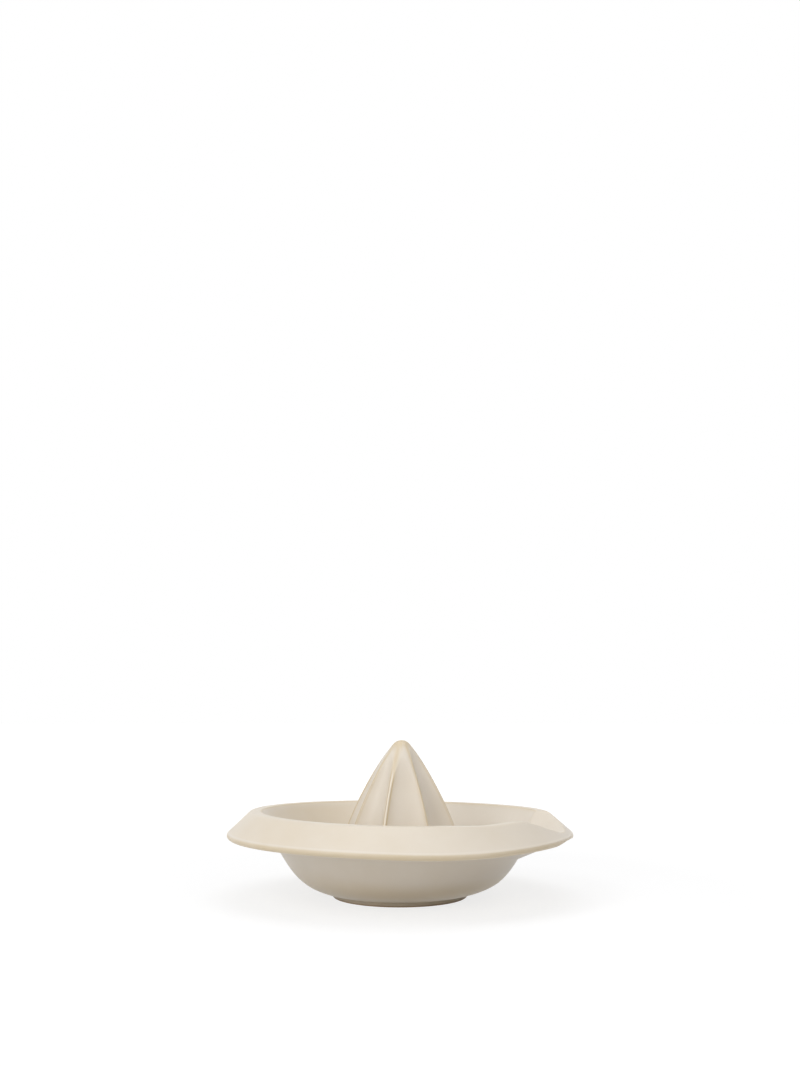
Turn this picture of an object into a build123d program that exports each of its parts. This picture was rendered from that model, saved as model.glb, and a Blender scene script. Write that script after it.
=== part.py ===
from build123d import *
from math import acos, cos, radians, sin, sqrt, tan
import os

# Glazed stoneware citrus juicer: a round bowl on a low foot ring, a folded brim with a pouring
# spout, and a fluted cone standing in the bowl. Millimetres, degrees, +Z up. The origin is on the
# axis of the bowl, in the plane that the foot stands on. The spout points along +X.

# Foot ring
foot_inset = 4.9
foot_width = 4.0
foot_height = 2.0
foot_flare = 0.5
foot_round = 0.7

# Bowl
floor_radius = 33.5
floor_thickness = 4.0
base_margin = 0.9
base_climb = 12.0
belly_run = 12.5
belly_rise = 5.2
belly_climb = 38.0
shoulder_run = 7.7
shoulder_rise = 9.1
wall_lean = 33.0
bowl_wall = 4.3
seat_rise = 11.7
seat_width = 4.1

# Brim
crest_flare = 5.9
crest_rise = 7.1
crest_width = 4.6
crest_inner_round = 1.2
crest_outer_round = 2.6
brim_width = 9.7
brim_slope = 40.4
brim_thickness = 3.3
brim_edge_round = 1.4

# Spout
spout_inset = 2.6
spout_span = 60.0
channel_angle = 20.0
channel_radius = 33.0
trough_angle = 23.0
trough_side_wall = 4.0
trough_tip_wall = 3.5
lip_round = 1.6
pinch_depth = 1.1
pinch_radius = 150.0

# Reamer cone
cone_height = 65.3
cone_margin = 2.5
cone_tip_radius = 6.2
cone_tip_lean = 37.0
cone_wall = 4.4
rib_count = 8
rib_land = 3.0
rib_turn = 3.0
flute_depth_share = 0.17

# One overrun serves all cuts
overrun = 10.0

# Heights, from the foot plane up to the crest
floor_height = foot_height + floor_thickness
belly_height = foot_height + belly_rise
shoulder_height = belly_height + shoulder_rise
seat_height = shoulder_height + seat_rise
crest_height = seat_height + crest_rise

# Radii: foot and cone stand inside the floor's edge, and the wall and brim spread out from the foot
foot_radius = floor_radius - foot_inset
cone_base_radius = floor_radius - cone_margin
base_radius = foot_radius + foot_flare + base_margin
belly_radius = base_radius + belly_run
shoulder_radius = belly_radius + shoulder_run
wall_run = tan(radians(wall_lean))
seat_outer_radius = shoulder_radius + wall_run * seat_rise
seat_inner_radius = seat_outer_radius - seat_width
crest_inner_radius = seat_inner_radius + crest_flare
crest_outer_radius = crest_inner_radius + crest_width
brim_radius = crest_outer_radius + brim_width
brim_fall = tan(radians(brim_slope))


def inner_normal(slope):
    """Unit vector from the bowl's outside to its inside where the wall climbs at this slope."""
    return Vector(-sin(radians(slope)), cos(radians(slope)))


def bowl_outside():
    """The bowl's outer line, from the flat under it to the seat of the brim."""
    curve = Spline(
        (base_radius, foot_height),
        (belly_radius, belly_height),
        (shoulder_radius, shoulder_height),
        tangents=[
            (cos(radians(base_climb)), sin(radians(base_climb))),
            (sin(radians(wall_lean)), cos(radians(wall_lean))),
        ],
    )
    Line(curve @ 1, (seat_outer_radius, seat_height))


def bowl_inside():
    """The bowl's inner line, from the edge of its floor to the seat of the brim."""
    belly = Vector(belly_radius, belly_height) + inner_normal(belly_climb) * bowl_wall
    shoulder = Vector(shoulder_radius, shoulder_height) + inner_normal(90 - wall_lean) * bowl_wall
    seat = Vector(seat_inner_radius, seat_height)
    curve = Spline(
        (floor_radius, floor_height),
        (belly.X, belly.Y),
        (shoulder.X, shoulder.Y),
        tangents=[(1, 0), ((seat - shoulder).X, (seat - shoulder).Y)],
    )
    Line(curve @ 1, (seat.X, seat.Y))


# The brim's rounded edge is an arc between its two faces. Its centre lies one round inside each.
slope_out = Vector(cos(radians(brim_slope)), -sin(radians(brim_slope)))
slope_up = Vector(sin(radians(brim_slope)), cos(radians(brim_slope)))
edge_radius = brim_radius - brim_edge_round
edge_drop = brim_edge_round / cos(radians(brim_slope))
edge_height = crest_height - brim_fall * (edge_radius - crest_outer_radius) - edge_drop
edge_centre = Vector(edge_radius, edge_height)
edge_top = edge_centre + slope_up * brim_edge_round
edge_bottom = edge_centre - slope_up * brim_edge_round
edge_out = edge_centre + slope_out * brim_edge_round

# The underside starts at the edge and thickens to the brim's full thickness at the bowl's wall.
under_start = Vector(crest_outer_radius, crest_height) - slope_up * brim_thickness
under_way = under_start - edge_bottom
wall_way = Vector(wall_run, 1)
gap = Vector(seat_outer_radius, seat_height) - edge_bottom
turn = under_way.X * wall_way.Y - under_way.Y * wall_way.X
reach = (gap.X * wall_way.Y - gap.Y * wall_way.X) / turn
under_root = edge_bottom + under_way * reach


def crest_and_edge():
    """The brim's upper line, from the crest's inner edge over the crest and slope to its underside."""
    crest = FilletPolyline(
        (seat_inner_radius, seat_height),
        (crest_inner_radius, crest_height),
        (crest_outer_radius, crest_height),
        (edge_top.X, edge_top.Y),
        radius=[crest_inner_round, crest_outer_round],
    )
    ThreePointArc(crest @ 1, (edge_out.X, edge_out.Y), (edge_bottom.X, edge_bottom.Y))


with BuildSketch(Plane.XZ) as brim_section:
    with BuildLine():
        crest_and_edge()
        Polyline(
            (edge_bottom.X, edge_bottom.Y),
            (under_root.X, under_root.Y),
            (seat_outer_radius, seat_height),
            (seat_inner_radius, seat_height),
        )
    make_face()

# The spout leaves through the brim's slope: a round channel above, and a round trough wall below it
spout_reach = brim_radius - spout_inset
spout_height = crest_height - brim_fall * (spout_reach - crest_outer_radius)
trough_radius = channel_radius + trough_side_wall
spout_length = spout_reach - shoulder_radius + bowl_wall
spout_start = Plane.XZ.rotated((0, 0, -spout_span / 2))


def along_spout(height, angle):
    """Plane across the spout at its tip, whose normal climbs outward at an angle."""
    climb = Vector(cos(radians(angle)), 0, sin(radians(angle)))
    return Plane(origin=(spout_reach, 0, height), x_dir=(0, 1, 0), z_dir=climb)


with BuildPart() as channel:
    with BuildSketch(along_spout(spout_height, channel_angle)):
        with Locations((0, channel_radius)):
            Circle(channel_radius)
    extrude(amount=spout_length + overrun, both=True)

with BuildPart() as trough:
    with BuildSketch(spout_start):
        with BuildLine():
            bowl_inside()
            crest_and_edge()
            Polyline(
                (edge_bottom.X, edge_bottom.Y),
                (edge_bottom.X, floor_height),
                (floor_radius, floor_height),
            )
        make_face()
    revolve(axis=Axis.Z, revolution_arc=spout_span)
    with BuildSketch(along_spout(spout_height - trough_tip_wall, trough_angle)):
        with Locations((0, trough_radius)):
            Circle(trough_radius)
    extrude(amount=spout_length + overrun, both=True, mode=Mode.INTERSECT)


def cone_arc():
    """Centre and radius of the long arc that the ribs follow, tangent to the rounded tip."""
    lean = radians(cone_tip_lean)
    tip = Vector(cone_tip_radius * cos(lean), cone_height - cone_tip_radius * (1 - sin(lean)))
    chord = Vector(cone_base_radius, floor_height) - tip
    along = Vector(sin(lean), -cos(lean))
    bend = acos(chord.dot(along) / chord.length)
    radius = chord.length / (2 * sin(bend))
    centre = tip - Vector(cos(lean), sin(lean)) * radius
    return tip, centre, radius


rib_tip, rib_centre, rib_arc_radius = cone_arc()


def rib_radius(height):
    """Distance of the rib crests from the axis at a height."""
    return rib_centre.X + sqrt(rib_arc_radius**2 - (height - rib_centre.Y) ** 2)


# A flute is a circle that grows with the cone. It reaches the flute's depth and leaves the land.
flute_half_angle = 180 / rib_count - rib_land / 2
flute_rise = 1 - cos(radians(flute_half_angle))
flute_floor_share = 1 - flute_depth_share
flute_centre_share = (1 - flute_floor_share**2) / (2 * (flute_depth_share - flute_rise))
flute_radius_share = flute_centre_share - flute_floor_share

# Shares of the cone's height, and how far the flute has drawn back there to run out below the tip
flute_shares = ((0.0, 0.0), (0.3, 0.0), (0.6, 0.0), (0.85, 0.03), (1.0, 0.35))

with BuildPart() as flute:
    for height_share, drawn_share in flute_shares:
        height = floor_height + height_share * (cone_height - floor_height)
        with BuildSketch(Plane.XY.offset(height)):
            with Locations(((flute_centre_share + drawn_share) * rib_radius(height), 0)):
                Circle(flute_radius_share * rib_radius(height))
    loft()

# The hollow under the cone keeps a wall behind the flutes
hollow_radius = flute_floor_share * cone_base_radius - cone_wall
hollow_middle_height = (floor_height + cone_height) / 2
hollow_middle_radius = flute_floor_share * rib_radius(hollow_middle_height) - cone_wall
hollow_top = rib_tip.Y - 2 * cone_wall

with BuildPart() as foot_ring:
    with BuildSketch(Plane.XZ):
        with BuildLine():
            Polyline(
                (foot_radius - foot_width, 0),
                (foot_radius, 0),
                (foot_radius + foot_flare, foot_height),
                (foot_radius - foot_width - foot_flare, foot_height),
                close=True,
            )
        make_face()
    revolve(axis=Axis.Z)
    fillet(foot_ring.edges().group_by(Axis.Z)[0], radius=foot_round)

with BuildPart() as bowl:
    with BuildSketch(Plane.XZ):
        with BuildLine():
            bowl_outside()
            bowl_inside()
            Line((seat_outer_radius, seat_height), (seat_inner_radius, seat_height))
            Polyline(
                (floor_radius, floor_height),
                (hollow_radius, floor_height),
                (hollow_radius, foot_height),
                (base_radius, foot_height),
            )
        make_face()
    revolve(axis=Axis.Z)
    add(trough.part, mode=Mode.SUBTRACT)

with BuildPart() as brim:
    with BuildSketch(Plane.XZ.rotated((0, 0, spout_span / 2))):
        add(brim_section.sketch_local)
    revolve(axis=Axis.Z, revolution_arc=360 - spout_span)

with BuildPart() as spout:
    with BuildSketch(spout_start):
        add(brim_section.sketch_local)
    revolve(axis=Axis.Z, revolution_arc=spout_span)
    # The edge is pinched thinner from below, by a wide round that runs out along the spout
    with BuildSketch(Plane.YZ):
        with Locations((0, edge_height - brim_edge_round + pinch_depth - pinch_radius)):
            Circle(pinch_radius)
    extrude(amount=brim_radius + overrun, mode=Mode.SUBTRACT)
    add(trough.part)
    add(channel.part, mode=Mode.SUBTRACT)
    channel_face = spout.faces().filter_by(GeomType.CYLINDER).sort_by(lambda face: face.radius)[0]
    fillet(channel_face.edges(), radius=lip_round)

with BuildPart() as reamer_cone:
    with BuildSketch(Plane.XZ):
        with BuildLine():
            rib = TangentArc(
                (rib_tip.X, rib_tip.Y),
                (cone_base_radius, floor_height),
                tangent=(sin(radians(cone_tip_lean)), -cos(radians(cone_tip_lean))),
            )
            dome = CenterArc(
                (0, cone_height - cone_tip_radius), cone_tip_radius, cone_tip_lean, 90 - cone_tip_lean
            )
            Polyline(rib @ 1, (0, floor_height), dome @ 1)
        make_face()
    revolve(axis=Axis.Z)
    with PolarLocations(0, rib_count, start_angle=rib_turn + 180 / rib_count):
        add(flute.part, mode=Mode.SUBTRACT)
    with BuildSketch(Plane.XZ):
        with BuildLine():
            vault = Spline(
                (hollow_radius, floor_height),
                (hollow_middle_radius, hollow_middle_height),
                (0, hollow_top),
            )
            Polyline(vault @ 1, (0, floor_height), vault @ 0)
        make_face()
    revolve(axis=Axis.Z, mode=Mode.SUBTRACT)

pieces = {
    "foot_ring": foot_ring,
    "bowl": bowl,
    "brim": brim,
    "spout": spout,
    "reamer_cone": reamer_cone,
}
os.makedirs("parts", exist_ok=True)
for name, piece in pieces.items():
    piece.part.label = name
    export_step(piece.part, f"parts/{name}.step")
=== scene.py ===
from math import atan2, cos, degrees, hypot, pi, radians, sin, tan

import bmesh
import bpy
import numpy as np
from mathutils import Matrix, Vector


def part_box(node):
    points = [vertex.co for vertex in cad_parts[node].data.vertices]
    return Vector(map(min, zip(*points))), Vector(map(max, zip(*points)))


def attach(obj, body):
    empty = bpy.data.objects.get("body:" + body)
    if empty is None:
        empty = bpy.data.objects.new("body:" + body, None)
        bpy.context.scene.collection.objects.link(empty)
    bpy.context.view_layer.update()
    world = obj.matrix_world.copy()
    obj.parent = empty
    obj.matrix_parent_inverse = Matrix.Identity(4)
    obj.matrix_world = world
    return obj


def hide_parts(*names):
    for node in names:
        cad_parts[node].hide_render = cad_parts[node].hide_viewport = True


# Glazed stoneware citrus juicer. The clay pieces are closed surfaces worked out from a few
# sections, and the glaze breaks to tan where the same sections turn sharply. Metres, as the frame.
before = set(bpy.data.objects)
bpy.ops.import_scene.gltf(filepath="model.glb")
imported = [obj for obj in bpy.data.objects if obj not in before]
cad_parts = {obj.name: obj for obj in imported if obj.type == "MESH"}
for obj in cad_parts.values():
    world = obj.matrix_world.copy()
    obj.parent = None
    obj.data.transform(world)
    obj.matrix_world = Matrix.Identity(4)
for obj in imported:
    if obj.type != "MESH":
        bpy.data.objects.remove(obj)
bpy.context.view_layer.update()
MM = 0.001

# Sizes read from the frame
bowl_low, bowl_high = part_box("bowl")
brim_low, brim_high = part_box("brim")
_, foot_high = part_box("foot_ring")
cone_low, cone_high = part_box("reamer_cone")
foot_height = foot_high.z
foot_radius = foot_high.x
floor_height = cone_low.z
seat_height = bowl_high.z
seat_radius = -bowl_low.x
crest_height = brim_high.z
brim_radius = min(-brim_low.x, -brim_low.y, brim_high.y)
tip_height = cone_high.z

# Camera
camera_azimuth = 20.0
camera_distance = 474.9 * MM
camera_height = 77.9 * MM
camera_pitch = 9.455
camera_lens = 35.94
camera_sensor = 36.0

# Bowl and brim section. Angles are in degrees from the outward level.
floor_radius = 33.5 * MM
hollow_radius = 21.3 * MM
hole_round = 1.0 * MM
base_radius = 30.0 * MM
belly_radius = 42.5 * MM
belly_height = 7.2 * MM
shoulder_radius = 50.2 * MM
shoulder_height = 16.3 * MM
bowl_wall = 4.3 * MM
seat_width = 4.1 * MM
base_climb = 12.0
belly_climb = 38.0
wall_climb = 57.0
crest_flare = 5.9 * MM
crest_width = 4.6 * MM
crest_inner_round = 1.4 * MM
crest_outer_round = 2.6 * MM
brim_slope = 40.4
brim_thickness = 3.3 * MM
edge_round = 1.4 * MM
root_round = 1.5 * MM

# Spout
spout_inset = 2.6 * MM
spout_half = 30.0
channel_climb = 20.0
channel_radius = 33.0 * MM
channel_near_slope = 0.7
channel_near_round = 10.0 * MM
trough_climb = 23.0
trough_radius = 37.0 * MM
trough_tip_wall = 3.5 * MM
lip_round = 0.7 * MM
mouth_round = 6.0 * MM
pinch_rise = 1.5 * MM
pinch_radius = 73.0 * MM

# Hand-thrown unevenness: how much, and the turn round the axis and the width in degrees
rim_tip = 1.1 * MM
rim_tip_turn = -142.0
rim_tip_spout_width = 70.0
rim_sink = 0.3 * MM
rim_dip = 0.6 * MM
rim_dip_turn = -38.0
rim_dip_width = 12.0
rim_droop = 1.2 * MM
rim_droop_turn = -52.0
rim_droop_width = 28.0
bowl_push = 0.45 * MM
cone_lean = 0.65 * MM

# Cone
cone_radius = 31.0 * MM
cone_tip_radius = 4.8 * MM
cone_tip_fall = 50.5
cone_wall = 4.4 * MM
vault_foot_climb = 100.0
vault_middle_climb = 112.0
slip_round = 2.0 * MM

# Ribs and flutes. Lists hold one value for each rib or flute, counted from the spout.
rib_count = 8
rib_land = 2.0
rib_turn = 3.0
rib_sways = (0.0, 0.0, 0.0, 0.0, 0.0, 7.0, 0.0, 0.5)
rib_round = 0.3 * MM
flute_depth_share = 0.19
flute_draw = 0.45
flute_draw_power = 2.5
flute_fade = (0.62, 0.64, 0.60, 0.66, 0.62, 0.62, 0.60, 0.78)

# Foot ring
foot_width = 4.0 * MM
foot_flare = 0.5 * MM
foot_round = 0.7 * MM
foot_fall = 104.0

# Glaze: 1 where it is so thin that it is tan, 0 where it is thick. Less is pale. Some values also paint
# shade in tan, and highlights and light in pale, as marked beside them.
crest_thin = 0.6
crest_top_loss = 0.4
edge_thin = 0.55
# Painted highlight: a pale line along the top of the brim edge's round.
edge_painted_highlight = 0.3
edge_painted_highlight_width = 0.03
# Painted shade: tan on the back left of the inner wall.
inner_wall_painted_shade = 0.3
inner_wall_turn = 155.0
inner_wall_width = 45.0
slope_thin = 0.11
slope_left_thin = 0.09
lip_thin = 0.25
lip_near_thin = 0.35
lip_near_reach = 2.0 * MM
under_edge_thin = 0.65
# Painted shade: tan low on the bowl, more on the right.
base_painted_shade = 0.4
base_right_painted_shade = 0.45
# Painted light: pale on the bowl's upper part under the brim.
upper_bowl_painted_light = 0.5
# Painted shade: tan on the bowl's left.
outer_left_painted_shade = 0.3
left_turn = camera_azimuth + 180
near_right_turn = -20.0
tip_thin = 0.7
tip_thin_from = 6.0 * MM
tip_thin_full = 1.0 * MM
rib_before = (0.3, 0.5, 0.8, 0.4, 0.8, 0.3, 1.1, 0.2)
rib_after = (0.3, 0.4, 0.6, 0.6, 0.7, 0.3, 0.8, 0.4)
# On each rib's ridge: above 0 a painted highlight in pale, below 0 tan.
rib_ridge_highlight_and_tan = (-0.6, -0.3, 0.3, -0.4, 0.2, -0.8, 0.9, -0.7)
rib_keen = (0.88, 0.74, 0.80, 0.76, 0.84, 0.86, 0.70, 0.90)
rib_fade = 0.12
rib_flank = 0.7 * MM
rib_flank_width = 0.35 * rib_flank
rib_ridge_width = 0.5 * rib_flank
rib_band = 1.3 * MM
rib_band_thin = 0.6
rib_shoulder = 2.2 * MM
rib_shoulder_thin = 0.25
wiped_from = 0.9 * MM
wiped_full = 0.2 * MM
channel_margin = 0.5 * MM
cloud_scale, cloud_detail = 70.0, 3.0
cloud_low, cloud_high = 0.3, 0.7
cloud_warmth = 0.35
warmer_by = (8, 11, 16)
tan_least, tan_gain = 0.75, 0.5
grain_scale, grain_detail = 900.0, 2.0
grain_strength = 0.12
grain_depth = 0.1 * MM
glaze_shine = 0.3

# Fineness of the surfaces: columns round the axis, and rows in each stretch of a section
bowl_columns = 480
brim_columns = 440
spout_columns = 161
foot_columns = 360
flute_columns = 60
column_crowding = 0.22
bowl_rows_in = 80
bowl_rows_out = 90
brim_rows_in = (14, 6, 6, 8, 26, 10)
brim_rows_out = (4, 8, 44, 14)
spout_rows_in = (60, 6, 6, 8, 30, 10)
spout_rows_out = (60, 6, 40, 14)
foot_rows = (4, 1, 6, 6, 6, 6, 6)
tip_rows = 16
rib_rows = 120
rib_row_power = 0.9
vault_rows = 30
weld_distance = 0.001 * MM
sharp_angle = 40.0


def heading(angle):
    """Unit vector across the section at an angle in degrees from the outward level."""
    return np.array([cos(radians(angle)), sin(radians(angle))])


def knot(point, angle):
    """A place on a section line and the way the line runs there."""
    return (point[0], point[1], angle)


def rounded(corner, before, after, radius):
    """The two knots where a round of this radius starts and ends on a corner of the section."""
    reach = radius * tan(radians(abs(after - before)) / 2)
    return [
        knot(corner - heading(before) * reach, before),
        knot(corner + heading(after) * reach, after),
    ]


def section_line(knots, along):
    """Radius and height at places along a section line, where whole numbers are its knots.

    Each stretch is the cubic through two knots with their headings. Its end speed is the chord over
    the squared cosine of a quarter of the turn, so an even turn is a round and no turn is straight.
    """
    knots = np.array(knots)
    start = np.clip(along.astype(int), 0, len(knots) - 2)
    t = (along - start)[..., None]
    here, there = knots[start, :2], knots[start + 1, :2]
    angles = np.radians(knots[:, 2])
    ways = np.stack([np.cos(angles), np.sin(angles)], -1)
    turn = angles[start + 1] - angles[start]
    speed = (np.linalg.norm(there - here, axis=-1) / np.cos(turn / 4) ** 2)[..., None]
    point = (
        (1 + 2 * t) * (1 - t) ** 2 * here
        + t * (1 - t) ** 2 * speed * ways[start]
        + t**2 * (3 - 2 * t) * there
        - t**2 * (1 - t) * speed * ways[start + 1]
    )
    return point[..., 0], point[..., 1]


def ease(value, low, high):
    """Smooth step from 0 at low to 1 at high."""
    share = np.clip((value - low) / (high - low), 0, 1)
    return share**2 * (3 - 2 * share)


def swell(value, middle, width):
    """Smooth hump: 1 in its middle, and e to the minus square of the distance in widths elsewhere."""
    return np.exp(-(((value - middle) / width) ** 2))


def turned_from(around, turn):
    """How far an angle lies from a turn in degrees, up to half a turn either way."""
    return (around - radians(turn) + pi) % (2 * pi) - pi


def lower_of(first, second, round_height):
    """The lower of two heights, and how near the ridge between them is.

    The nearness falls from 1 where they cross to 0 where they differ by the round. A quarter of the
    round times its square is taken off, which rounds the ridge.
    """
    near = np.clip(1 - np.abs(first - second) / round_height, 0, 1)
    return np.minimum(first, second) - near**2 * round_height / 4, near


# The section's lines, from the hole under the cone out to the brim's edge
seat_in = np.array([seat_radius - seat_width, seat_height])
crest_in = np.array([seat_in[0] + crest_flare, crest_height])
crest_out = crest_in + [crest_width, 0]
inner_climb = degrees(atan2(crest_in[1] - seat_in[1], crest_flare))
brim_fall = tan(radians(brim_slope))
edge_radius = brim_radius - edge_round
edge_centre = np.array([
    edge_radius,
    crest_height - brim_fall * (edge_radius - crest_out[0]) - edge_round / cos(radians(brim_slope)),
])
edge_top = edge_centre + heading(90 - brim_slope) * edge_round
edge_bottom = edge_centre - heading(90 - brim_slope) * edge_round
edge_out = edge_centre + [edge_round, 0]
under_start = crest_out - heading(90 - brim_slope) * brim_thickness
under_angle = degrees(atan2(edge_bottom[1] - under_start[1], edge_bottom[0] - under_start[0]))
under_fall = -tan(radians(under_angle))
wall_rise = tan(radians(wall_climb))
root_radius = (
    edge_bottom[1] + under_fall * edge_bottom[0] - seat_height + wall_rise * seat_radius
) / (wall_rise + under_fall)
under_root = np.array([root_radius, seat_height + wall_rise * (root_radius - seat_radius)])
belly = np.array([belly_radius, belly_height])
shoulder = np.array([shoulder_radius, shoulder_height])
belly_in = belly + heading(belly_climb + 90) * bowl_wall
shoulder_in = shoulder + heading(wall_climb + 90) * bowl_wall
shoulder_in_climb = degrees(atan2(seat_in[1] - shoulder_in[1], seat_in[0] - shoulder_in[0]))

inner_line = [
    (hollow_radius, floor_height, 0),
    (floor_radius, floor_height, 0),
    knot(belly_in, belly_climb),
    knot(shoulder_in, shoulder_in_climb),
    knot(seat_in, (shoulder_in_climb + inner_climb) / 2),
    *rounded(crest_in, inner_climb, 0, crest_inner_round),
    *rounded(crest_out, 0, -brim_slope, crest_outer_round),
    knot(edge_top, -brim_slope),
    knot(edge_out, -90),
]
outer_line = [
    (hollow_radius, foot_height + hole_round, -90),
    (hollow_radius + hole_round, foot_height, 0),
    (base_radius, foot_height, base_climb),
    knot(belly, belly_climb),
    knot(shoulder, wall_climb),
    (seat_radius, seat_height, wall_climb),
    *rounded(under_root, wall_climb, under_angle, root_round),
    knot(edge_bottom, -brim_slope),
    knot(edge_out, 90),
]
# Numbers of knots: the seam, and where the crest's rounds and the edge's round start
INNER_SEAT, CREST_START, SLOPE_START, EDGE_START = 4, 5, 7, 9
OUTER_SEAT, OUTER_EDGE = 5, 8

spout_reach = brim_radius - spout_inset
spout_height = crest_height - brim_fall * (spout_reach - crest_out[0])
CLEAR = 1.0  # in metres, a height or radius that is never the lower one


def round_side(y, climb, radius):
    """How far a round-bottomed trough of this radius rises to its sides, at a distance from its middle."""
    rise = (radius - np.sqrt(np.clip(radius**2 - y**2, 0, None))) / cos(radians(climb))
    return np.where(np.abs(y) < radius, rise, CLEAR)


def pinched_side(y, slope, bottom_round):
    """The same for a side pinched straight: a hyperbola that is round at the bottom."""
    return slope * (np.sqrt(y**2 + bottom_round**2) - bottom_round)


def trough_line(x, tip, climb, side):
    """Height of a trough that climbs outward along X to a height at the spout's tip."""
    bottom = tip - tan(radians(climb)) * (spout_reach - x)
    return np.where(x > spout_reach / 2, bottom + side, CLEAR)


def thrown_rim(radius, around):
    """How far the rim stands off its true height, as thrown by hand.

    The crest tips towards one side, sinks a little all round, and dips once beside the spout. The
    tipping dies away at the spout, and all of it at the shoulder and at the brim's edge, which
    droops in one place by itself.
    """
    tipped = rim_tip * np.cos(around - radians(rim_tip_turn)) - rim_sink
    tipped = tipped * (1 - swell(turned_from(around, 0), 0, radians(rim_tip_spout_width)))
    droop = rim_droop * swell(turned_from(around, rim_droop_turn), 0, radians(rim_droop_width))
    dip = rim_dip * swell(turned_from(around, rim_dip_turn), 0, radians(rim_dip_width))
    inward = ease(radius, shoulder_radius, crest_in[0])
    outward = np.clip((edge_radius - radius) / (edge_radius - crest_out[0]), 0, 1)
    return (tipped - dip) * inward * outward - droop * (1 - outward)


def place(radius, height, around):
    """Points on a turned surface, from radius, height and angle."""
    return np.stack(np.broadcast_arrays(radius * np.cos(around), radius * np.sin(around), height), -1)


def upper_glaze(along, around, radius, y, lip, open_crest):
    """The glaze's thinness on the upper face.

    It is thin over the crest's inner round, less on its top, and gone before the slope. It is thin
    on the brim's edge, with a pale line above it that is a painted highlight, along the channel's lip,
    more so on the near side, and a little on the slope. Tan on one part of the inner wall is painted
    shade. What the crest, the slope and the highlight show ends where the channel starts.
    """
    crest = (
        ease(along, CREST_START - 0.2, CREST_START + 0.3)
        * (crest_thin - crest_top_loss * ease(along, CREST_START + 0.5, CREST_START + 1.1))
        * (1 - ease(along, SLOPE_START + 0.2, SLOPE_START + 1.4))
    )
    edge = edge_thin * ease(along, EDGE_START + 0.1, EDGE_START + 0.6)
    # Painted highlight: a pale line along the top of the edge's round.
    edge_highlight = edge_painted_highlight * swell(along, EDGE_START - 0.02, edge_painted_highlight_width)
    # Painted shade: tan on the back left of the inner wall.
    wall = (
        inner_wall_painted_shade
        * swell(turned_from(around, inner_wall_turn), 0, radians(inner_wall_width))
        * (1 - ease(along, CREST_START - 0.4, CREST_START + 0.2))
    )
    slope = slope_thin + slope_left_thin * np.cos(around - radians(left_turn))
    slope = slope * ease(along, SLOPE_START + 0.2, SLOPE_START + 1)
    lip_share = lip_thin + lip_near_thin * ease(-y, -lip_near_reach, lip_near_reach)
    lip_edge = lip_share * lip * ease(radius, crest_in[0], crest_out[0])
    thin = np.maximum(np.maximum(crest * open_crest, edge), lip_edge)
    return np.maximum(thin, np.maximum(wall, slope * open_crest)) - edge_highlight * open_crest


def upper_face(along, around):
    """The face that the juice touches, and the glaze's thinness on it.

    The inner section line is turned round the axis, and lowered to the channel where the spout is.
    The channel is round on the far side and pinched straight on the near side. Its ridge is soft at
    the bowl's shoulder and gets keen towards the crest.
    """
    radius, height = section_line(inner_line, along)
    x, y = radius * np.cos(around), radius * np.sin(around)
    height = height + thrown_rim(radius, around)
    near_side = pinched_side(y, channel_near_slope, channel_near_round)
    side = np.where(y < 0, near_side, round_side(y, channel_climb, channel_radius))
    channel = trough_line(x, spout_height, channel_climb, side)
    keen = ease(radius, shoulder_radius, crest_in[0])
    height, lip = lower_of(height, channel, mouth_round + (lip_round - mouth_round) * keen)
    open_crest = 1 - ease(height - channel, -channel_margin, 0)
    return place(radius, height, around), upper_glaze(along, around, radius, y, lip, open_crest)


def under_face(along, around):
    """The face below and outside, and the glaze's thinness on it.

    The outer section line is turned round the axis, and the belly pushed to one side. It is lifted
    to a round arch where the edge is pinched at the spout, and lowered to the trough that carries
    the channel. The glaze is thin at the edge. Tan low on the bowl, more to the right, and on its
    left is painted shade, and pale above the belly is painted light.
    """
    radius, height = section_line(outer_line, along)
    belly_share = ease(height, foot_height, belly_height) * (1 - ease(along, OUTER_SEAT, OUTER_SEAT + 2))
    radius = radius + bowl_push * np.cos(around - radians(camera_azimuth)) * belly_share
    height = height + thrown_rim(radius, around)
    x, y = radius * np.cos(around), radius * np.sin(around)
    arch = np.sqrt(np.clip(pinch_radius**2 - y**2, 0, None)) - pinch_radius
    pinch = edge_centre[1] - edge_round + pinch_rise + arch
    lifted = np.maximum(height, np.where((x > 0) & (along > OUTER_EDGE - 0.5), pinch, 0))
    side = round_side(y, trough_climb, trough_radius)
    trough = trough_line(x, spout_height - trough_tip_wall, trough_climb, side)
    height, _ = lower_of(lifted, trough, lip_round)
    edge = under_edge_thin * ease(along, OUTER_EDGE - 0.12, OUTER_EDGE + 0.1)
    right_side = np.clip(np.cos(around - radians(near_right_turn)), 0, 1)
    left_side = np.clip(np.cos(around - radians(left_turn)), 0, 1)
    # Painted shade: tan low on the bowl, darker towards the foot and more on the right.
    low = (base_painted_shade + base_right_painted_shade * right_side) * (1 - ease(height, foot_height, 2 * belly_height))
    # Painted light: pale on the bowl's upper part under the brim.
    upper_painted_light = upper_bowl_painted_light * ease(height, belly_height, seat_height)
    # Painted shade: tan on the bowl's left side as the camera sees it.
    thin = np.maximum(edge, low - upper_painted_light + outer_left_painted_shade * left_side)
    return place(radius, height, around), thin


def steps(first, counts):
    """Places along a section line from a knot on, with a number of rows for each stretch."""
    parts = [first + k + np.arange(n) / n for k, n in enumerate(counts)]
    return np.concatenate([*parts, [first + len(counts)]])


def seam_dip(around):
    """How far the seam under the brim runs down the wall: one knot at the spout, none beside it."""
    share = np.clip(np.abs(around) / radians(spout_half), 0, 1)
    return np.cos(share * pi / 2) ** 2


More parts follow.
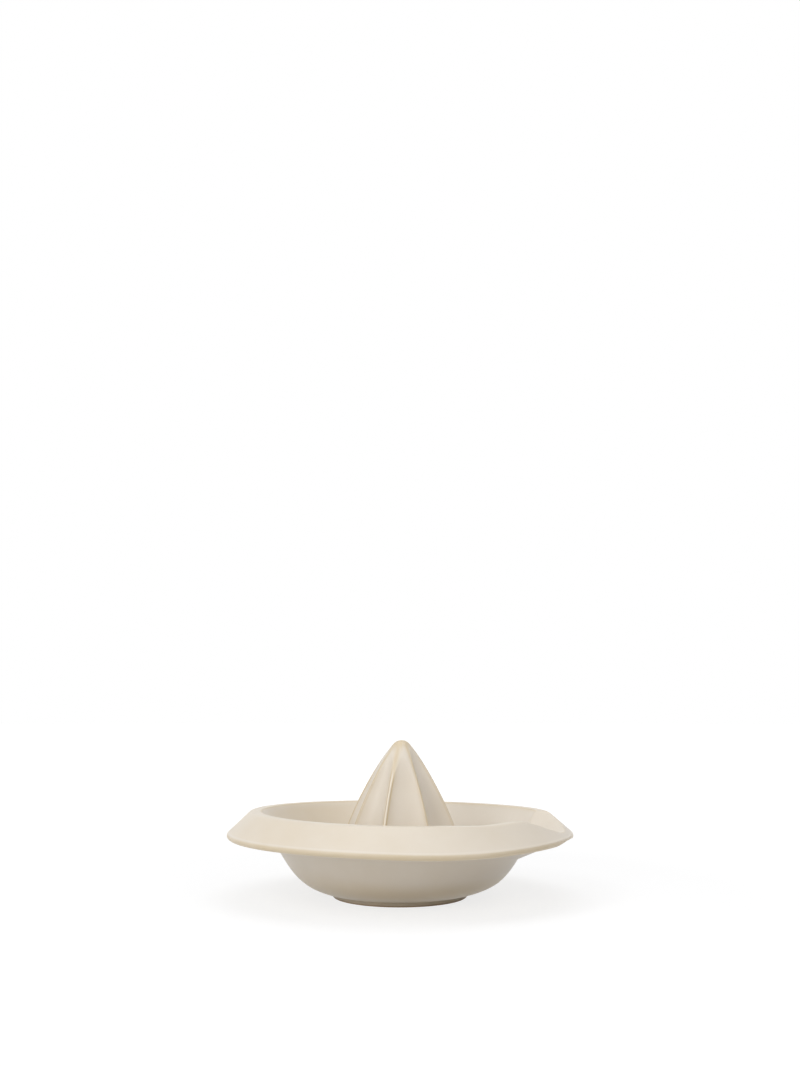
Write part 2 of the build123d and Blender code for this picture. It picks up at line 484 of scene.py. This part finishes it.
def sweep_faces(rows, columns, wrap_rows, wrap_columns):
    """Four-cornered faces of a grid of points, joined at its ends where it wraps."""
    j = np.arange(rows if wrap_rows else rows - 1)[:, None]
    i = np.arange(columns if wrap_columns else columns - 1)[None, :]
    down, across = (j + 1) % rows, (i + 1) % columns
    corners = [j * columns + i, down * columns + i, down * columns + across, j * columns + across]
    return np.stack(np.broadcast_arrays(*corners), -1).reshape(-1, 4)


def end_faces(rows, columns):
    """Faces that close the two ends of a part turn, between its upper and its lower rows."""
    j = np.arange(rows // 2 - 1)
    pairs = np.stack([j, j + 1, rows - 2 - j, rows - 1 - j], -1)
    return np.concatenate([pairs[:, ::-1] * columns, pairs * columns + columns - 1])


def clay_piece(name, points, thin, faces, node, material):
    """A closed piece from a grid of points, with the glaze's thinness as an attribute."""
    mesh = bpy.data.meshes.new(name)
    mesh.from_pydata(points.reshape(-1, 3).tolist(), [], faces.tolist())
    thinness = mesh.attributes.new("thin", "FLOAT", "POINT")
    thinness.data.foreach_set("value", thin.ravel().astype(np.float32))
    work = bmesh.new()
    work.from_mesh(mesh)
    bmesh.ops.remove_doubles(work, verts=work.verts, dist=weld_distance)
    work.to_mesh(mesh)
    work.free()
    mesh.shade_smooth()
    mesh.set_sharp_from_angle(angle=radians(sharp_angle))
    mesh.materials.append(material)
    piece = bpy.data.objects.new(name, mesh)
    bpy.context.scene.collection.objects.link(piece)
    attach(piece, "root")
    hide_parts(node)


def ring_of(first, last, count):
    """Angles from first to last degree. A full turn leaves out its last angle."""
    full = last - first == 360
    return np.radians(np.linspace(first, last, count, endpoint=not full))


def stack_faces(upper, under):
    """Rows of the upper face followed by those of the face below, in reverse, as one closed section."""
    upper_thin = np.broadcast_to(upper[1], upper[0].shape[:2])
    under_thin = np.broadcast_to(under[1], under[0].shape[:2])
    return np.concatenate([upper[0], under[0][::-1]]), np.concatenate([upper_thin, under_thin[::-1]])


def rim_piece(name, first, last, count, upper_counts, under_counts, node):
    """A part turn of the brim, from the seam on the bowl over the crest and down to the edge."""
    around = ring_of(first, last, count)
    dip = seam_dip(around)
    rows_in = steps(INNER_SEAT, upper_counts)[:, None]
    rows_out = steps(OUTER_SEAT, under_counts)[:, None]
    along_in = rows_in - dip * np.clip(INNER_SEAT + 1 - rows_in, 0, 1)
    along_out = rows_out - dip * np.clip(OUTER_SEAT + 1 - rows_out, 0, 1)
    points, thin = stack_faces(upper_face(along_in, around), under_face(along_out, around))
    rows = len(points)
    faces = np.concatenate([sweep_faces(rows, count, True, False), end_faces(rows, count)])
    clay_piece(name, points, thin, faces, node, glaze)


# Looks
def linear(red, green, blue):
    """A display colour from 0 to 255 as the shader's own values."""
    values = np.array([red, green, blue]) / 255
    return (*np.where(values > 0.04045, ((values + 0.055) / 1.055) ** 2.4, values / 12.92), 1.0)


def empty_tree(holder):
    """The node tree of a material or a world, with nothing in it yet."""
    holder.use_nodes = True
    holder.node_tree.nodes.clear()
    return holder.node_tree


def add_node(tree, kind, inputs=(), **settings):
    """A shader node with its settings, and its inputs set to values or joined to other nodes."""
    made = tree.nodes.new(kind)
    for key, value in settings.items():
        setattr(made, key, value)
    for key, value in dict(inputs).items():
        if isinstance(value, bpy.types.NodeSocket):
            tree.links.new(value, made.inputs[key])
        else:
            made.inputs[key].default_value = value
    return made


def maths(tree, operation, *values, clamp=False):
    """The result of a sum on values or sockets."""
    made = add_node(tree, "ShaderNodeMath", dict(enumerate(values)), operation=operation, use_clamp=clamp)
    return made.outputs[0]


def mixed(tree, share, first, second):
    """A colour between two colours."""
    inputs = {"Factor": share, 6: first, 7: second}
    return add_node(tree, "ShaderNodeMix", inputs, data_type="RGBA").outputs[2]


def end_tree(tree, kind, shader):
    """Join the last shader to the tree's output."""
    tree.links.new(shader, add_node(tree, kind).inputs["Surface"])


def glazed(name, cream, broken, pale, roughness):
    """Satin glaze over stoneware: cream where thick, tan where thin and as painted shade, pale as painted
    highlights and light.

    Broad clouds make the cream a little warmer in places and let the tan come and go. A fine grain
    is the satin's bump.
    """
    material = bpy.data.materials.new(name)
    tree = empty_tree(material)
    place_on = add_node(tree, "ShaderNodeTexCoord").outputs["Object"]
    thin = add_node(tree, "ShaderNodeAttribute", attribute_name="thin").outputs["Fac"]
    clouds = {"Vector": place_on, "Scale": cloud_scale, "Detail": cloud_detail}
    grains = {"Vector": place_on, "Scale": grain_scale, "Detail": grain_detail}
    cloud = add_node(tree, "ShaderNodeTexNoise", clouds).outputs["Fac"]
    grain = add_node(tree, "ShaderNodeTexNoise", grains).outputs["Fac"]
    tan_share = maths(tree, "MULTIPLY_ADD", cloud, tan_gain, tan_least)
    breaking = maths(tree, "MULTIPLY", thin, tan_share, clamp=True)
    warm_range = {"Value": cloud, "From Min": cloud_low, "From Max": cloud_high, "To Max": cloud_warmth}
    warmth = add_node(tree, "ShaderNodeMapRange", warm_range).outputs[0]
    warmer = linear(*(part - less for part, less in zip(cream, warmer_by)))
    body = mixed(tree, warmth, linear(*cream), warmer)
    body = mixed(tree, breaking, body, linear(*broken))
    # Pale where the thinness is below 0, which is painted highlight and painted light.
    body = mixed(tree, maths(tree, "MULTIPLY", thin, -1.0, clamp=True), body, linear(*pale))
    satin = {"Strength": grain_strength, "Distance": grain_depth, "Height": grain}
    looks = {
        "Base Color": body,
        "Roughness": roughness,
        "Specular IOR Level": glaze_shine,
        "Normal": add_node(tree, "ShaderNodeBump", satin).outputs[0],
    }
    end_tree(tree, "ShaderNodeOutputMaterial", add_node(tree, "ShaderNodeBsdfPrincipled", looks).outputs[0])
    return material


glaze = glazed("cream_glaze", (229, 220, 206), (213, 193, 155), (248, 238, 216), 0.35)
foot_glaze = glazed("foot_glaze", (214, 202, 184), (170, 140, 106), (214, 202, 184), 0.6)

# Bowl: turned all round, with the brim's seam as its upper end
bowl_around = turned_from(ring_of(0, 360, bowl_columns), 0)
bowl_in = np.linspace(0, 1, bowl_rows_in)[:, None] * (INNER_SEAT - seam_dip(bowl_around))
bowl_out = np.linspace(0, 1, bowl_rows_out)[:, None] * (OUTER_SEAT - seam_dip(bowl_around))
points, thin = stack_faces(upper_face(bowl_in, bowl_around), under_face(bowl_out, bowl_around))
faces = sweep_faces(len(points), bowl_columns, True, True)
clay_piece("bowl_glazed", points, thin, faces, "bowl", glaze)

# Brim and spout share the section, and meet half a spout's turn each side of it
rim_piece("brim_glazed", spout_half, 360 - spout_half, brim_columns, brim_rows_in, brim_rows_out, "brim")
rim_piece("spout_glazed", -spout_half, spout_half, spout_columns, spout_rows_in, spout_rows_out, "spout")

# Cone: the ribs' long arc starts tangent to the rounded tip
tip_join = np.array([
    cone_tip_radius * cos(radians(90 - cone_tip_fall)),
    tip_height - cone_tip_radius * (1 - sin(radians(90 - cone_tip_fall))),
])
arc_chord = np.array([cone_radius, floor_height]) - tip_join
arc_bend = -cone_tip_fall - degrees(atan2(arc_chord[1], arc_chord[0]))
arc_radius = hypot(*arc_chord) / (2 * sin(radians(arc_bend)))
arc_centre = tip_join - heading(90 - cone_tip_fall) * arc_radius
rib_line = [
    (0, tip_height, 0),
    knot(tip_join, -cone_tip_fall),
    (cone_radius, floor_height, -cone_tip_fall - 2 * arc_bend),
]

flute_half = radians(180 / rib_count)
flute_floor_share = 1 - flute_depth_share
flute_rise = 1 - cos(flute_half - radians(rib_land) / 2)
flute_centre_share = (1 - flute_floor_share**2) / (2 * (flute_depth_share - flute_rise))
flute_radius_share = flute_centre_share - flute_floor_share


def rib_reach(height):
    """Radius of the ribs' long arc at a height."""
    return arc_centre[0] + np.sqrt(arc_radius**2 - (height - arc_centre[1]) ** 2)


def cone_glaze(climbed, height, aside, flank, ridge_highlight_and_tan, keen):
    """The glaze's thinness on the cone.

    It is thin on both flanks of a rib and, softly, beside them. Along each ridge it is tan on some ribs
    and pale on others, where the pale is a painted highlight. From the height where the rib stops being
    keen, one band takes their place and joins the tip.
    """
    flanks = swell(aside, rib_flank, rib_flank_width)
    ridge = swell(aside, 0, rib_ridge_width)
    soft = rib_shoulder_thin * swell(aside, 0, rib_shoulder)
    band = rib_band_thin * swell(aside, 0, rib_band)
    tip = tip_thin * ease(height, tip_height - tip_thin_from, tip_height - tip_thin_full)
    # Pale on a ridge, where the value is above 0, is a painted highlight.
    lower = flank * (flanks + soft) - ridge_highlight_and_tan * ridge
    fading = ease(climbed, keen, keen + rib_fade)
    return lower * (1 - fading) + np.maximum(band, tip) * fading


def cone_face(along, across, flank, ridge_highlight_and_tan, keen, fade):
    """The fluted cone, and the glaze's thinness on its ribs and tip.

    The rib line is turned round the axis and cut back to a circle in each flute, whose centre and
    radius are shares of the ribs' radius. Above the height where a flute fades, its centre draws
    back with a power of the height, so the ribs run out there. At the floor a quarter round of slip
    joins the bowl.
    """
    radius, height = section_line(rib_line, along)
    climbed = (height - floor_height) / (tip_height - floor_height)
    drawn = flute_draw * np.clip((climbed - fade) / (1 - fade), 0, 1) ** flute_draw_power
    centre = (flute_centre_share + drawn) * rib_reach(height)
    reach = flute_radius_share * rib_reach(height)
    chord = reach**2 - (centre * np.sin(across)) ** 2
    flute = np.where(chord > 0, centre * np.cos(across) - np.sqrt(np.clip(chord, 0, None)), CLEAR)
    aside = radius * (flute_half - np.abs(across))
    radius, _ = lower_of(radius, flute, rib_round)
    slip = np.clip(slip_round - (height - floor_height), 0, slip_round)
    radius = radius + slip_round - np.sqrt(slip_round**2 - slip**2)
    return radius, height, cone_glaze(climbed, height, aside, flank, ridge_highlight_and_tan, keen)


share = np.linspace(-1, 1, flute_columns, endpoint=False)
cone_across = np.tile(flute_half * (share + column_crowding * np.sin(pi * share)), rib_count)
rib_around = np.radians(rib_turn + np.array(rib_sways)) + 2 * flute_half * np.arange(rib_count)
next_rib = np.append(rib_around[1:], rib_around[0] + 2 * pi)


def each_flute(values):
    """One value for each flute, repeated for its columns."""
    return np.repeat(values, flute_columns)


def beside_ribs(after, before):
    """A value for each column of the flutes: its own rib's up to the middle, the next rib's beyond."""
    return np.where(cone_across < 0, each_flute(after), each_flute(np.roll(before, -1)))


cone_around = (
    each_flute((rib_around + next_rib) / 2)
    + cone_across * each_flute((next_rib - rib_around) / (2 * flute_half))
)
tip_along = np.linspace(0, 1, tip_rows)[:-1]
rib_along = 1 + np.linspace(0, 1, rib_rows) ** rib_row_power
cone_radii, cone_heights, thin = cone_face(
    np.concatenate([tip_along, rib_along])[:, None],
    cone_across,
    beside_ribs(rib_after, rib_before),
    beside_ribs(rib_ridge_highlight_and_tan, rib_ridge_highlight_and_tan),
    beside_ribs(rib_keen, rib_keen),
    each_flute(flute_fade),
)
lean_share = cone_lean * (cone_heights - floor_height) / (tip_height - floor_height)
outside = place(cone_radii, cone_heights, cone_around)
outside = outside + lean_share[..., None] * np.append(heading(camera_azimuth), 0)
vault_middle = (floor_height + tip_height) / 2
vault_radius = flute_floor_share * rib_reach(vault_middle) - cone_wall
vault_line = [
    (hollow_radius, floor_height, vault_foot_climb),
    (vault_radius, vault_middle, vault_middle_climb),
    (0, tip_join[1] - 2 * cone_wall, 180),
]
vault_radii, vault_heights = section_line(vault_line, np.linspace(0, 2, vault_rows)[:, None])
inside = place(vault_radii, vault_heights, cone_around)
points = np.concatenate([outside, inside])
thin = np.concatenate([thin, np.zeros(inside.shape[:2])])
faces = sweep_faces(len(points), len(cone_around), False, True)
clay_piece("reamer_cone_glazed", points, thin, faces, "reamer_cone", glaze)

# Foot ring: flat where it stands, wiped bare of glaze there
foot_outside = foot_radius - foot_flare
foot_line = [
    (foot_outside - foot_width, foot_height, 0),
    (foot_radius, foot_height, 0),
    (foot_radius, foot_height, -foot_fall),
    *rounded(np.array([foot_outside, 0.0]), -foot_fall, -180, foot_round),
    *rounded(np.array([foot_outside - foot_width, 0.0]), -180, foot_fall - 360, foot_round),
    (foot_outside - foot_flare - foot_width, foot_height, foot_fall - 360),
]
foot_radii, foot_heights = section_line(foot_line, steps(0, foot_rows)[:, None])
points = place(foot_radii, foot_heights, ring_of(0, 360, foot_columns))
thin = np.broadcast_to(1 - ease(foot_heights, wiped_full, wiped_from), points.shape[:2])
faces = sweep_faces(len(points), foot_columns, True, True)
clay_piece("foot_ring_glazed", points, thin, faces, "foot_ring", foot_glaze)

# Studio: pale floor, white beyond it
toward = np.array([sin(radians(camera_azimuth)), -cos(radians(camera_azimuth)), 0])
right = np.array([cos(radians(camera_azimuth)), sin(radians(camera_azimuth)), 0])
ground_radius = 6.0
ground_sides = 96
ground_seen = (0.26, 0.26, 0.26, 1)
ground_lit = (0.82, 0.82, 0.82, 1)
ground_glow = 0.78
ground_glow_gain = 0.22
ground_glow_from, ground_glow_to = 0.15, 0.6
backdrop_seen = (1, 1, 1, 1)
backdrop_light = (0.3, 0.29, 0.28, 1)


def seen_directly(tree):
    """1 for rays from the camera and those that a shiny or clear surface sends on, and 0 for others."""
    paths = add_node(tree, "ShaderNodeLightPath").outputs
    seen_or_shiny = maths(tree, "MAXIMUM", paths["Is Camera Ray"], paths["Is Glossy Ray"])
    return maths(tree, "MAXIMUM", seen_or_shiny, paths["Is Transmission Ray"])


# To the object the floor is pale paper. Seen directly it is darker paint with a glow of its own,
# which grows to full white away from the middle, so the shadow shows and the floor has no end.
floor_mesh = bpy.data.meshes.new("studio_floor")
corners = place(ground_radius, 0.0, ring_of(0, 360, ground_sides))
floor_mesh.from_pydata(corners.tolist(), [], [list(range(ground_sides))])
floor_paint = bpy.data.materials.new("pale_floor")
tree = empty_tree(floor_paint)
seen = seen_directly(tree)
place_on = add_node(tree, "ShaderNodeTexCoord").outputs["Object"]
from_middle = add_node(tree, "ShaderNodeVectorMath", {0: place_on}, operation="LENGTH").outputs["Value"]
away_range = {"Value": from_middle, "From Min": ground_glow_from, "From Max": ground_glow_to}
away = add_node(tree, "ShaderNodeMapRange", away_range).outputs[0]
paint = mixed(tree, seen, ground_lit, ground_seen)
matt = add_node(tree, "ShaderNodeBsdfDiffuse", {"Color": paint}).outputs[0]
glow_level = maths(tree, "MULTIPLY_ADD", away, ground_glow_gain, ground_glow)
glow = add_node(tree, "ShaderNodeEmission", {"Strength": maths(tree, "MULTIPLY", seen, glow_level)})
matt_and_glow = add_node(tree, "ShaderNodeAddShader", {0: matt, 1: glow.outputs[0]}).outputs[0]
end_tree(tree, "ShaderNodeOutputMaterial", matt_and_glow)
floor_mesh.materials.append(floor_paint)
floor = bpy.data.objects.new("studio_floor", floor_mesh)
bpy.context.scene.collection.objects.link(floor)

world = bpy.data.worlds.new("studio")
bpy.context.scene.world = world
tree = empty_tree(world)
backdrop = mixed(tree, seen_directly(tree), backdrop_light, backdrop_seen)
sky = add_node(tree, "ShaderNodeBackground", {"Color": backdrop, "Strength": 1.0}).outputs[0]
end_tree(tree, "ShaderNodeOutputWorld", sky)


def soft_light(name, aside, front, up, size, power, colour):
    """A square lamp aimed at the object, placed beside, before and above it as the camera sees it."""
    lamp = bpy.data.lights.new(name, "AREA")
    lamp.size = size
    lamp.energy = power
    lamp.color = colour
    holder = bpy.data.objects.new(name, lamp)
    spot = right * aside + toward * front + np.array([0, 0, up])
    holder.location = spot
    level_way = hypot(spot[0], spot[1])
    holder.rotation_euler = (atan2(level_way, up), 0, atan2(spot[0], -spot[1]))
    bpy.context.scene.collection.objects.link(holder)


soft_light("left_softbox", -0.75, 0.6, 0.95, 0.45, 3.4, (0.97, 0.99, 1.03))
soft_light("low_softbox", -0.6, 0.9, 0.25, 0.7, 3.4, (1.0, 0.99, 0.97))
soft_light("right_softbox", 0.7, 0.6, 0.8, 0.7, 1.9, (1.0, 0.98, 0.96))
soft_light("top_softbox", 0.0, 0.0, 1.2, 1.0, 5.6, (0.97, 1.0, 1.05))

camera = bpy.data.cameras.new("camera")
camera.sensor_fit = "VERTICAL"
camera.sensor_height = camera_sensor
camera.lens = camera_lens
camera_holder = bpy.data.objects.new("camera", camera)
camera_holder.location = (*(toward * camera_distance)[:2], camera_height)
camera_holder.rotation_euler = (radians(90 + camera_pitch), 0, radians(camera_azimuth))
bpy.context.scene.collection.objects.link(camera_holder)
bpy.context.scene.camera = camera_holder
bpy.context.scene.view_settings.view_transform = "Standard"
